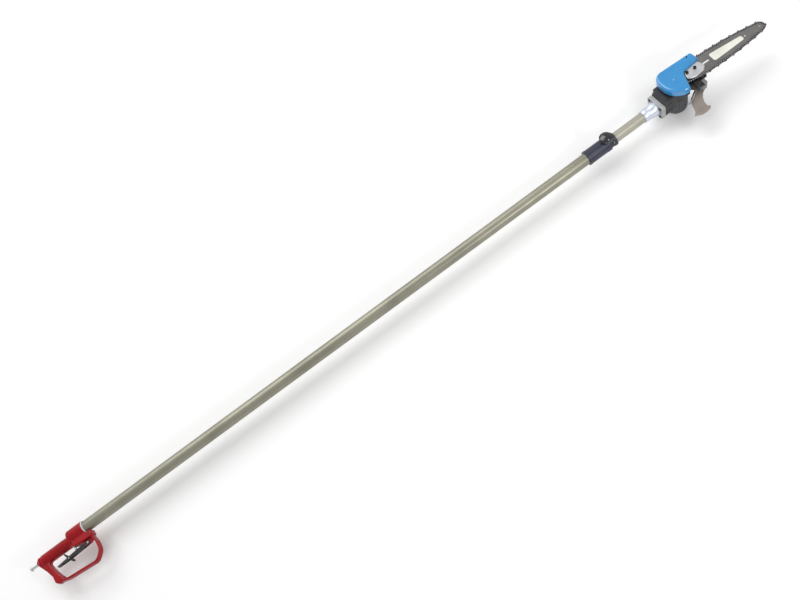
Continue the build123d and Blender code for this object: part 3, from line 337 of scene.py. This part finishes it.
def turned(name, rings, sides=36):
    """A solid spun round Z. A ring is its radius, height and number of corners, 0 for a round one."""
    crease = math.radians(35)
    bm = bmesh.new()
    loops = []
    for radius, height, corners in rings:
        loop = []
        for i in range(sides):
            angle = 2 * math.pi * i / sides
            reach = radius
            if corners:
                part = 2 * math.pi / corners
                reach = radius / math.cos((angle % part) - part / 2)
            loop.append(bm.verts.new((reach * math.cos(angle), reach * math.sin(angle), height)))
        loops.append(loop)
    for a, b in zip(loops, loops[1:]):
        for i in range(sides):
            j = (i + 1) % sides
            bm.faces.new((a[i], a[j], b[j], b[i]))
    bm.faces.new(loops[0])
    bm.faces.new(loops[-1])
    bmesh.ops.recalc_face_normals(bm, faces=bm.faces)
    for face in bm.faces:
        face.smooth = True
    mesh = bpy.data.meshes.new(name)
    bm.to_mesh(mesh)
    bm.free()
    mesh.set_sharp_from_angle(angle=crease)
    return bpy.data.objects.new(name, mesh)


def repeated(name, shapes, places, material, body, slot, *nodes, wander=0.0, seed=3):
    """One mesh of shapes set at places by Geometry Nodes. A place is a point, its turns and its shape."""
    bench = bpy.data.collections.new(name + "_shapes")
    for shape in shapes:
        bench.objects.link(shape)
    spots = bpy.data.meshes.new(name)
    spots.from_pydata([place for place, _, _ in places], [], [])
    turns = spots.attributes.new("turns", "FLOAT_VECTOR", "POINT")
    turns.data.foreach_set("vector", [value for _, turn, _ in places for value in turn])
    kinds = spots.attributes.new("kind", "INT", "POINT")
    kinds.data.foreach_set("value", [kind for _, _, kind in places])
    piece = bpy.data.objects.new(name, spots)
    bpy.context.collection.objects.link(piece)

    rule = bpy.data.node_groups.new(name + "_rule", "GeometryNodeTree")
    ports = rule.interface
    ports.new_socket("Geometry", in_out="INPUT", socket_type="NodeSocketGeometry")
    named = {
        "Shapes": ports.new_socket("Shapes", in_out="INPUT", socket_type="NodeSocketCollection"),
        "Wander": ports.new_socket("Wander", in_out="INPUT", socket_type="NodeSocketFloat"),
        "Seed": ports.new_socket("Seed", in_out="INPUT", socket_type="NodeSocketInt"),
        "Material": ports.new_socket("Material", in_out="INPUT", socket_type="NodeSocketMaterial"),
    }
    ports.new_socket("Geometry", in_out="OUTPUT", socket_type="NodeSocketGeometry")

    def step(kind, **settings):
        made = rule.nodes.new(kind)
        for key, value in settings.items():
            setattr(made, key, value)
        return made

    source, result = step("NodeGroupInput"), step("NodeGroupOutput")
    pick = step("GeometryNodeCollectionInfo")
    pick.inputs["Separate Children"].default_value = True
    pick.inputs["Reset Children"].default_value = True
    turn = step("GeometryNodeInputNamedAttribute", data_type="FLOAT_VECTOR")
    turn.inputs["Name"].default_value = "turns"
    kind = step("GeometryNodeInputNamedAttribute", data_type="INT")
    kind.inputs["Name"].default_value = "kind"
    chance = step("FunctionNodeRandomValue", data_type="FLOAT")
    swing = step("ShaderNodeMath", operation="MULTIPLY")
    lean = step("ShaderNodeCombineXYZ")
    added = step("ShaderNodeVectorMath", operation="ADD")
    facing = step("FunctionNodeEulerToRotation")
    setting = step("GeometryNodeInstanceOnPoints")
    setting.inputs["Pick Instance"].default_value = True
    whole, paint = step("GeometryNodeRealizeInstances"), step("GeometryNodeSetMaterial")
    chance.inputs[2].default_value, chance.inputs[3].default_value = -1.0, 1.0
    for a, b in (
        (source.outputs["Shapes"], pick.inputs["Collection"]),
        (source.outputs["Seed"], chance.inputs["Seed"]),
        (chance.outputs[1], swing.inputs[0]),
        (source.outputs["Wander"], swing.inputs[1]),
        (swing.outputs[0], lean.inputs["Z"]),
        (turn.outputs[0], added.inputs[0]),
        (lean.outputs[0], added.inputs[1]),
        (added.outputs[0], facing.inputs[0]),
        (source.outputs["Geometry"], setting.inputs["Points"]),
        (pick.outputs[0], setting.inputs["Instance"]),
        (kind.outputs[0], setting.inputs["Instance Index"]),
        (facing.outputs[0], setting.inputs["Rotation"]),
        (setting.outputs[0], whole.inputs[0]),
        (whole.outputs[0], paint.inputs["Geometry"]),
        (source.outputs["Material"], paint.inputs["Material"]),
        (paint.outputs[0], result.inputs[0]),
    ):
        rule.links.new(a, b)
    modifier = piece.modifiers.new("rule", "NODES")
    modifier.node_group = rule
    for key, value in {"Shapes": bench, "Wander": wander, "Seed": seed, "Material": material}.items():
        modifier[named[key].identifier] = value
    baked(piece, material)
    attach(piece, body)
    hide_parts(*nodes)
    return piece


def cap_screws(node, faces):
    """Socket screws on the head where a CAD node has its screws, all facing one way along an axis."""
    axis = max(range(3), key=lambda i: abs(faces[i]))
    turns = {(0, 0, 1): (0, 0, 0), (0, 0, -1): (math.pi, 0, 0), (-1, 0, 0): (0, -math.pi / 2, 0)}[faces]
    places, shapes, known = [], [], {}
    for low, high in islands(node):
        size = high - low
        across = [size[i] for i in range(3) if i != axis]
        radius, length = min(across) / 2, size[axis]
        key = (round(radius, 4), round(length, 4))
        if key not in known:
            known[key] = len(shapes)
            head = min(0.9 * radius, 0.6 * length)
            point, shank, socket = 0.02 * radius, 0.52 * radius, 0.44 * radius
            shapes.append(turned(f"{len(shapes)}_{node}", [
                (point, -length, 0), (shank, -length, 0), (shank, -head, 0),
                (0.96 * radius, -head, 0), (radius, -head * 0.92, 0), (radius, -head * 0.22, 0),
                (0.93 * radius, -head * 0.05, 0), (0.84 * radius, 0, 0), (0.5 * radius, 0, 0),
                (socket, -head * 0.05, 6), (socket, -head * 0.6, 6), (point, -head * 0.72, 0)]))
        place = (low + high) / 2
        place[axis] = high[axis] if faces[axis] > 0 else low[axis]
        places.append((place, turns, known[key]))
    return repeated(node + "_set", shapes, places, black_oxide, "head", "black_steel", node,
                    wander=0.5, seed=len(node))


cap_screws("flange_screws", (-1, 0, 0))

# ---- ferrule ----
# Turned from bright aluminium bar: a plain sleeve over the tube, a long flare and a square shoulder
# against the flange. Swells are the flare's growth at shares of its length.
start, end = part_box("ferrule")
tube_gap = 0.00005
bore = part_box("inner_tube")[1].z + tube_gap
sleeve, flare, length = 0.0180, end.z, end.x - start.x
lip, shoulder_edge, air_way = 0.0008, 0.0004, 0.010
swells = ((0.33, 0), (0.40, 0.0002), (0.49, 0.0007), (0.60, 0.0015), (0.70, 0.0025))
ferrule = turned("ferrule_spun", [
    (bore, 0.84 * length, 0), (bore, 0, 0), (sleeve - lip, 0, 0), (sleeve - 0.0003, 0.00025, 0),
    (sleeve, lip, 0)] + [(sleeve + swell, along * length, 0) for along, swell in swells] + [
    (flare - 0.0003, 0.79 * length, 0), (flare, 0.85 * length, 0), (flare, length - shoulder_edge, 0),
    (flare - shoulder_edge, length, 0), (air_way, length, 0)], sides=120)
pole_height = (start.y + end.y) / 2
ferrule.data.transform(Matrix.Translation((start.x, pole_height, 0)) @ Matrix.Rotation(math.pi / 2, 4, "Y"))
bpy.context.collection.objects.link(ferrule)
ferrule.data.materials.append(bright_aluminium)
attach(ferrule, "head")
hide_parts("ferrule")

# ---- head housing and vane motor ----
# The neck and deck are one black coated casting; the deck's black edge round the cover's rim is painted
# shade beneath the cover. The motor case is a dark grey ribbed casting below it, closed by a cap. Rotor,
# liner, plates and vanes are inside.
# Black for the neck's real coating, and painted shade where the deck's edge shows round the cover's rim.
black_casting_and_rim_shade = surface(
    "black_casting_and_rim_shade", (0.018, 0.018, 0.020), (0.028, 0.028, 0.030), 0.40, 0.08, patch=40.0, grain=500.0,
    bump=0.2, bump_depth=0.0003, marks=(0.07, 0.07, 0.07), marked=0.4)
motor_paint = surface(
    "motor_paint", (0.125, 0.130, 0.135), (0.090, 0.094, 0.100), 0.42, 0.08, patch=30.0, grain=500.0,
    bump=0.2, bump_depth=0.0003, marks=(0.18, 0.18, 0.18), marked=0.35, Metallic=0.3)
vane_laminate = surface(
    "vane_laminate", (0.16, 0.07, 0.03), (0.24, 0.12, 0.05), 0.5, patch=60.0, grain=800.0,
    stretch=(1, 1, 0.1))
eased("head_housing", black_casting_and_rim_shade, 0.0012, "head")
eased("motor_case", motor_paint, 0.0005, "head")
eased("end_cap", motor_paint, 0.0010, "head")
cap_screws("end_cap_screws", (0, 0, -1))
dress(turned_steel, "motor_liner", "front_end_plate", "rear_end_plate", "rotor_bearings", "rotor",
      "sprocket", "sprocket_nut")
dress(vane_laminate, "rotor_vanes")

# ---- side cover ----
# The cover over the sprocket is a glossy sky-blue moulding with a soft crown, a forward tongue and a
# small dome over the shaft.
gloss_blue = surface(
    "gloss_blue", (0.030, 0.265, 0.58), (0.024, 0.235, 0.535), 0.14, 0.03, patch=16.0, grain=200.0,
    bump=0.05, bump_depth=0.0004, Coat_Weight=0.8, Coat_Roughness=0.05)
cast("side_cover", gloss_blue, 0.0009, 36, "head")
cap_screws("cover_screws", (0, 0, 1))

# ---- guide bar ----
# A ground steel bar with an off-white resin panel let into each face, held by a bright plate and two
# black screws.
ground_bar = surface(
    "ground_bar", (0.235, 0.225, 0.215), (0.180, 0.172, 0.165), 0.36, 0.08, patch=25.0, grain=700.0,
    stretch=(0.05, 1, 1), bump=0.15, marks=(0.09, 0.075, 0.065), marked=0.6, Metallic=0.75)
panel_resin = surface(
    "panel_resin", (0.76, 0.76, 0.68), (0.68, 0.68, 0.60), 0.45, patch=30.0, grain=400.0,
    marks=(0.35, 0.33, 0.28), marked=0.5)
clamp_metal = surface(
    "clamp_metal", (0.74, 0.75, 0.77), (0.62, 0.63, 0.65), 0.3, 0.06, patch=50.0, grain=900.0,
    stretch=(0.2, 1, 1), bump=0.15, Metallic=0.8)
eased("guide_bar", ground_bar, 0.0003, "head")
dress(panel_resin, "bar_inlay")
eased("clamp_plate", clamp_metal, 0.0005, "head")
cap_screws("bar_screws", (0, 0, 1))
dress(turned_steel, "nose_bearing", "nose_sprocket")

# ---- saw chain ----
# Quarter-inch pitch chain: drive links in the bar's groove, tie straps outside them and a plated
# cutter every fourth pitch. It is oiled and dark.
oiled_chain = surface(
    "oiled_chain", (0.070, 0.060, 0.066), (0.042, 0.036, 0.040), 0.34, 0.10, patch=120.0, grain=900.0,
    marks=(0.20, 0.12, 0.08), marked=0.5, Metallic=0.85)
plated_cutter = surface(
    "plated_cutter", (0.15, 0.125, 0.13), (0.09, 0.075, 0.08), 0.30, 0.08, patch=120.0, grain=900.0,
    Metallic=0.9)
dress(oiled_chain, "chain_drive_links")

# The rivets are walked from neighbour to neighbour, clockwise seen from above. A join is the middle
# between two of them with the chain's direction there, and half is half their spacing.
rivets = [((low + high) / 2, (high - low)) for low, high in islands("chain_rivets")]
walk, left = [rivets[0][0]], [centre for centre, _ in rivets[1:]]
while left:
    walk.append(min(left, key=lambda c: (c - walk[-1]).length))
    left.remove(walk[-1])
if sum(a.x * b.y - b.x * a.y for a, b in zip(walk, walk[1:] + walk[:1])) > 0:
    walk.reverse()
joins = [((a + b) / 2, math.atan2(b.y - a.y, b.x - a.x)) for a, b in zip(walk, walk[1:] + walk[:1])]
half = sum((a - b).length for a, b in zip(walk, walk[1:])) / (len(walk) - 1) / 2


def side_plate(name, outline, thick, top=None):
    """A pressed plate in the link's own axes: X along the chain, Y away from the bar."""
    corner, edge, crease = 0.6, thick * 0.14, math.radians(40)
    bm = bmesh.new()
    face = bm.faces.new([bm.verts.new((x, y, -thick / 2)) for x, y in outline])
    raised = bmesh.ops.extrude_face_region(bm, geom=[face])["geom"]
    lifted = [v for v in raised if isinstance(v, bmesh.types.BMVert)]
    bmesh.ops.translate(bm, vec=(0, 0, thick), verts=lifted)
    if top:
        lower = [bm.verts.new(corner) for corner in top[0]]
        upper = [bm.verts.new(corner) for corner in top[1]]
        bm.faces.new(lower)
        bm.faces.new(upper)
        for i in range(4):
            j = (i + 1) % 4
            bm.faces.new((lower[i], lower[j], upper[j], upper[i]))
    bmesh.ops.recalc_face_normals(bm, faces=bm.faces)
    edges = [e for e in bm.edges if e.calc_face_angle(0) > corner]
    bmesh.ops.bevel(bm, geom=edges, offset=edge, segments=2, affect="EDGES", clamp_overlap=True)
    mesh = bpy.data.meshes.new(name)
    bm.to_mesh(mesh)
    bm.free()
    mesh.set_sharp_from_angle(angle=crease)
    return bpy.data.objects.new(name, mesh)


def waisted(radius, waist):
    """Outline of a two-eyed plate, narrower between its eyes."""
    steps = 12
    points = []
    for side in (1, -1):
        for i in range(steps + 1):
            angle = math.pi * (-0.5 * side + i / steps)
            points.append((side * half + radius * math.cos(angle), radius * math.sin(angle)))
        points.append((0, side * waist))
    return points


def set_on_chain(node):
    """For each body of a chain node: its join at the body's own level, and the chain's direction."""
    found = []
    for low, high in islands(node):
        centre = (low + high) / 2
        join, angle = min(joins, key=lambda j: (j[0].xy - centre.xy).length)
        found.append((Vector((join.x, join.y, centre.z)), angle))
    return found


plate = 0.0011
eye = 0.00245
waist = eye * 0.72
repeated("strap_set", [side_plate("0_strap", waisted(eye, waist), plate)],
         [(place, (0, 0, angle), 0) for place, angle in set_on_chain("chain_tie_straps")],
         oiled_chain, "head", "chain_steel", "chain_tie_straps", wander=0.02)

# A rivet's head, from its middle out to its shank: each radius and how far it lies below the top.
spool = rivets[0][1].z / 2
head_rings = [(0.00002, 0.0001), (0.0008, 0), (0.0015, 0.00015), (0.0017, 0.0004), (0.0013, 0.0007)]
rivet = turned("0_rivet", [(radius, -spool + below, 0) for radius, below in head_rings] + [
    (radius, spool - below, 0) for radius, below in reversed(head_rings)], sides=16)
repeated("rivet_set", [rivet], [(place, (0, 0, 0), 0) for place in walk],
         turned_steel, "head", "chain_steel", "chain_rivets")

# ---- cutters ----
# Each cutter is a side plate with a depth gauge in front and, behind the gullet, a plated top plate
# folded over the chain. Left and right cutters alternate.
body_line = [(half + 0.0022, -0.0012), (half + 0.0024, 0.0006),
             (half + 0.0016, 0.0036), (half + 0.0004, 0.0040),
             (half - 0.0010, 0.0024), (half - 0.0022, 0.0016), (0.0002, 0.0030), (0.0004, 0.0052),
             (-half - 0.0018, 0.0044), (-half - 0.0024, 0.0008), (-half - 0.0020, -0.0014),
             (-half, -0.0024), (0, -0.0017), (half, -0.0024)]
top_under, top_over, top_fall = 0.0043, 0.0052, 0.0008
tops = []
for number, side in enumerate((1, -1)):
    rear, front, inner, outer = -half - 0.0018, 0.0006, side * 0.0005, side * -0.0030
    slab = [[(rear, y - top_fall, inner), (front, y, inner), (front, y, outer), (rear, y - top_fall, outer)]
            for y in (top_under, top_over)]
    tops.append(side_plate(f"{number}_cutter", body_line, plate, slab))

middle = sum(place.z for place in walk) / len(walk)
plate_gap = 0.00125
settings = []
for place, angle in set_on_chain("chain_cutters"):
    upper = place.z > middle
    level = middle + (plate_gap if upper else -plate_gap)
    settings.append(((place.x, place.y, level), (0, 0, angle), 0 if upper else 1))
repeated("cutter_set", tops, settings, plated_cutter, "head", "cutter_chrome", "chain_cutters", wander=0.02)

# ---- hook, bracket and wire lever ----
# The two-horned pulling hook is profile-cut plate with a warm grey finish, bolted to a cast bracket
# with the black chain catcher. A wire lever is hinged beside it.
hook_plate = surface(
    "hook_plate", (0.33, 0.29, 0.255), (0.27, 0.235, 0.205), 0.42, 0.08, patch=30.0, grain=600.0,
    bump=0.15, marks=(0.15, 0.10, 0.07), marked=0.5, Metallic=0.5)
bracket_casting = surface(
    "bracket_casting", (0.22, 0.225, 0.235), (0.17, 0.175, 0.18), 0.45, 0.08, patch=40.0, grain=500.0,
    bump=0.2, Metallic=0.3)
eased("hook_bracket", bracket_casting, 0.0008, "head")
eased("pulling_hook", hook_plate, 0.0006, "head")
eased("chain_catcher", black_oxide, 0.0008, "head")
for node in ("hook_screws", "catcher_screws", "lever_screw"):
    cap_screws(node, (0, 0, 1))
dress(bright_plate, "wire_lever")

# ---- table, camera and light ----
# A pale table under one large soft light, with two small panels by the head that put a streak and a
# glint on its cover. The camera looks down and is rolled, so the tool lies across the view.
table_gap = 0.0005
left_edge, right_edge, table_half = -6, 9, 6
table_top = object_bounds()[0].z - table_gap
table_mesh = bpy.data.meshes.new("table")
table_mesh.from_pydata(
    [(left_edge, -table_half, table_top), (right_edge, -table_half, table_top),
     (right_edge, table_half, table_top), (left_edge, table_half, table_top)],
    [], [(0, 1, 2, 3)])
table = bpy.data.objects.new("table", table_mesh)
bpy.context.collection.objects.link(table)
table_mesh.materials.append(surface(
    "table_white", (0.93, 0.93, 0.93), (0.92, 0.92, 0.92), 0.8, patch=2.0, grain=100.0, bump=0.0))

tilt, roll = math.radians(30.1), math.radians(36.3)
right = Vector((math.cos(roll), -math.sin(roll) * math.cos(tilt), -math.sin(roll) * math.sin(tilt)))
up = Vector((math.sin(roll), math.cos(roll) * math.cos(tilt), math.cos(roll) * math.sin(tilt)))
back = Vector((0, -math.sin(tilt), math.cos(tilt)))
lens = bpy.data.cameras.new("camera")
lens.lens, lens.sensor_width, lens.clip_end = 36.0, 36.0, 50.0
camera = bpy.data.objects.new("camera", lens)
bpy.context.collection.objects.link(camera)
camera_place = (1.2755, -1.1218, 1.9330)
turned_to = Matrix((right, up, back)).transposed().to_4x4()
camera.matrix_world = Matrix.Translation(camera_place) @ turned_to
bpy.context.scene.camera = camera


def panel_light(name, place, target, size, watts):
    """A square soft light facing a point."""
    light = bpy.data.lights.new(name, "AREA")
    light.size, light.energy = size, watts
    lamp = bpy.data.objects.new(name, light)
    lamp.location = place
    lamp.rotation_mode = "QUATERNION"
    lamp.rotation_quaternion = (Vector(target) - Vector(place)).to_track_quat("-Z", "Y")
    bpy.context.collection.objects.link(lamp)


panel_light("key", (0.4, 4.2, 5.6), (1.2, 0, 0), 6.0, 330)
panel_light("streak", (2.75, -1.1, 2.2), (2.25, 0, 0), 0.5, 6)
panel_light("glint", (2.23, -1.9, 1.35), (2.23, 0, 0.05), 0.45, 14)
world = bpy.data.worlds.new("studio")
world.use_nodes = True
world.node_tree.nodes["Background"].inputs["Color"].default_value = (1, 1, 1, 1)
world.node_tree.nodes["Background"].inputs["Strength"].default_value = 0.58
bpy.context.scene.world = world
bpy.context.scene.view_settings.view_transform = "Standard"
